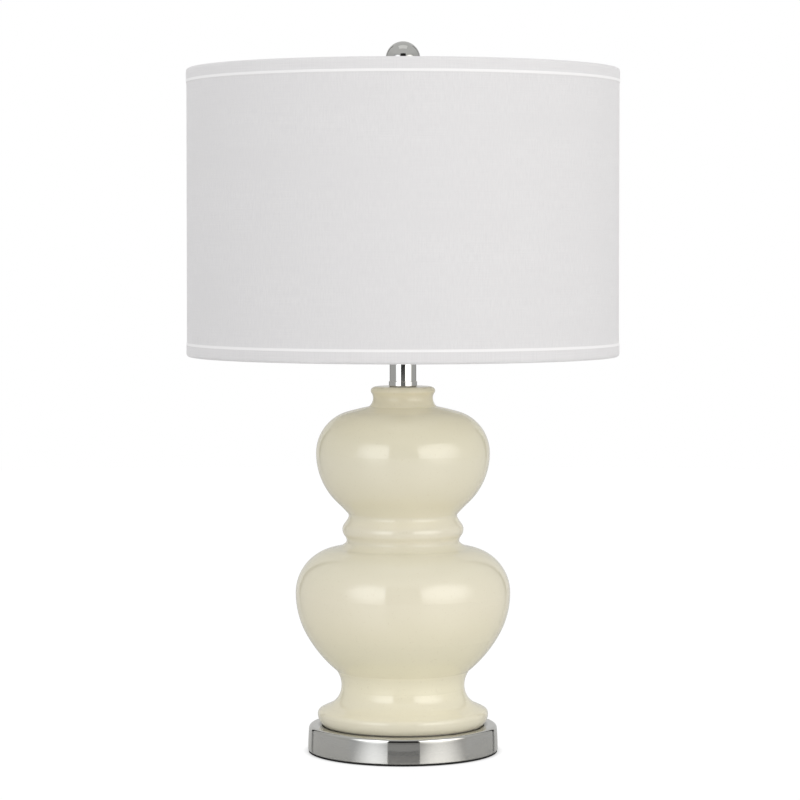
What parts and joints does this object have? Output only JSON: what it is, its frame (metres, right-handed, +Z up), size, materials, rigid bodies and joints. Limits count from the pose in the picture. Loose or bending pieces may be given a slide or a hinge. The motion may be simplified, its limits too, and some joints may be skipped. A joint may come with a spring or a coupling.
{
  "type": "table lamp",
  "caption": "Double gourd ceramic table lamp on a round metal base, with a turn-knob socket, detachable harp, linen drum shade and ball finial.",
  "frame": {"origin": "centre of the base's underside, on the lamp's axis, where it stands on the table", "axes": "+Z up the lamp's axis to the finial; -Y the front, where the switch knob points; +Y the back, where the cord leaves the base; the harp stands in the XZ plane"},
  "size_m": [0.4095, 0.4096, 0.6733],
  "materials": {
    "felt": "dark felt",
    "base_steel": "brushed and polished steel",
    "black_nylon": "matt",
    "zinc_steel": "zinc plated",
    "clear_rubber": "translucent",
    "ivory_glaze": "high gloss glaze",
    "chrome": "polished",
    "nickel_steel": "bright nickel plate",
    "nickel_shell": "nickel plated brass",
    "fibre_liner": "fibre board",
    "black_phenolic": "moulded",
    "brass": "bright",
    "aluminium": "rolled thread",
    "solder": "soldered",
    "black_glass": "glossy",
    "frosted_glass": "soft white frost",
    "linen": "woven linen",
    "white_styrene": "smooth",
    "white_wire": "white enamel"
  },
  "bodies": {
    "lamp_body": {"felt_pad": "felt", "base_pan": "base_steel", "cord_bushing": "black_nylon", "rod_washer": "zinc_steel", "lock_washer": "zinc_steel", "rod_nut": "zinc_steel", "threaded_rod": "zinc_steel", "foot_gasket": "clear_rubber", "ceramic_body": "ivory_glaze", "neck_gasket": "clear_rubber", "neck_collar": "chrome", "neck_tube": "chrome", "neck_cap": "chrome", "harp_saddle": "nickel_steel", "saddle_nut": "zinc_steel", "harp_bow": "nickel_steel", "harp_swivel": "nickel_steel", "socket_cap": "nickel_shell", "socket_cap_screw": "zinc_steel", "socket_shell": "nickel_shell", "socket_liner": "fibre_liner", "socket_body": "black_phenolic", "terminal_screws": "brass", "screw_shell": "aluminium", "centre_contact": "brass"},
    "switch": {"switch_stem": "brass", "switch_knob": "black_phenolic"},
    "bulb_lift": {"bulb_contact": "solder"},
    "bulb": {"bulb_insulator": "black_glass", "bulb_screw_base": "aluminium", "bulb_globe": "frosted_glass"},
    "ferrule_left": {"ferrule_left": "nickel_steel"},
    "ferrule_right": {"ferrule_right": "nickel_steel"},
    "shade": {"shade_cover": "linen", "shade_liner": "white_styrene", "shade_top_ring": "white_wire", "shade_bottom_ring": "white_wire", "spider_hub": "white_wire", "shade_spider": "white_wire", "top_trim": "linen", "bottom_trim": "linen"},
    "finial_lift": {"finial_neck": "chrome"},
    "finial": {"finial_ball": "chrome"}
  },
  "joints": [
    {"name": "switch_turn", "type": "hinge", "parent": "lamp_body", "child": "switch", "pos_m": [0, -0.025, 0.41965], "axis": [0, -1, 0], "continuous": true},
    {"name": "bulb_rise", "type": "slide", "parent": "lamp_body", "child": "bulb_lift", "axis": [0, 0, 1], "range_m": [0, 0.0182]},
    {"name": "bulb_turn", "type": "hinge", "parent": "bulb_lift", "child": "bulb", "pos_m": [0, 0, 0.45], "axis": [0, 0, 1], "range_deg": [0, 1800]},
    {"name": "ferrule_left_slide", "type": "slide", "parent": "lamp_body", "child": "ferrule_left", "axis": [0, 0, 1], "range_m": [0, 0.012]},
    {"name": "ferrule_right_slide", "type": "slide", "parent": "lamp_body", "child": "ferrule_right", "axis": [0, 0, 1], "range_m": [0, 0.012]},
    {"name": "shade_turn", "type": "hinge", "parent": "lamp_body", "child": "shade", "pos_m": [0, 0, 0.63], "axis": [0, 0, 1], "continuous": true},
    {"name": "finial_rise", "type": "slide", "parent": "lamp_body", "child": "finial_lift", "axis": [0, 0, 1], "range_m": [0, 0.0095]},
    {"name": "finial_turn", "type": "hinge", "parent": "finial_lift", "child": "finial", "pos_m": [0, 0, 0.657], "axis": [0, 0, 1], "range_deg": [0, 3600]}
  ],
  "couplings": [
    {"joint": "bulb_rise", "follows": "bulb_turn", "m_per_rad": 0.0005775},
    {"joint": "finial_rise", "follows": "finial_turn", "m_per_rad": 0.00014972}
  ]
}
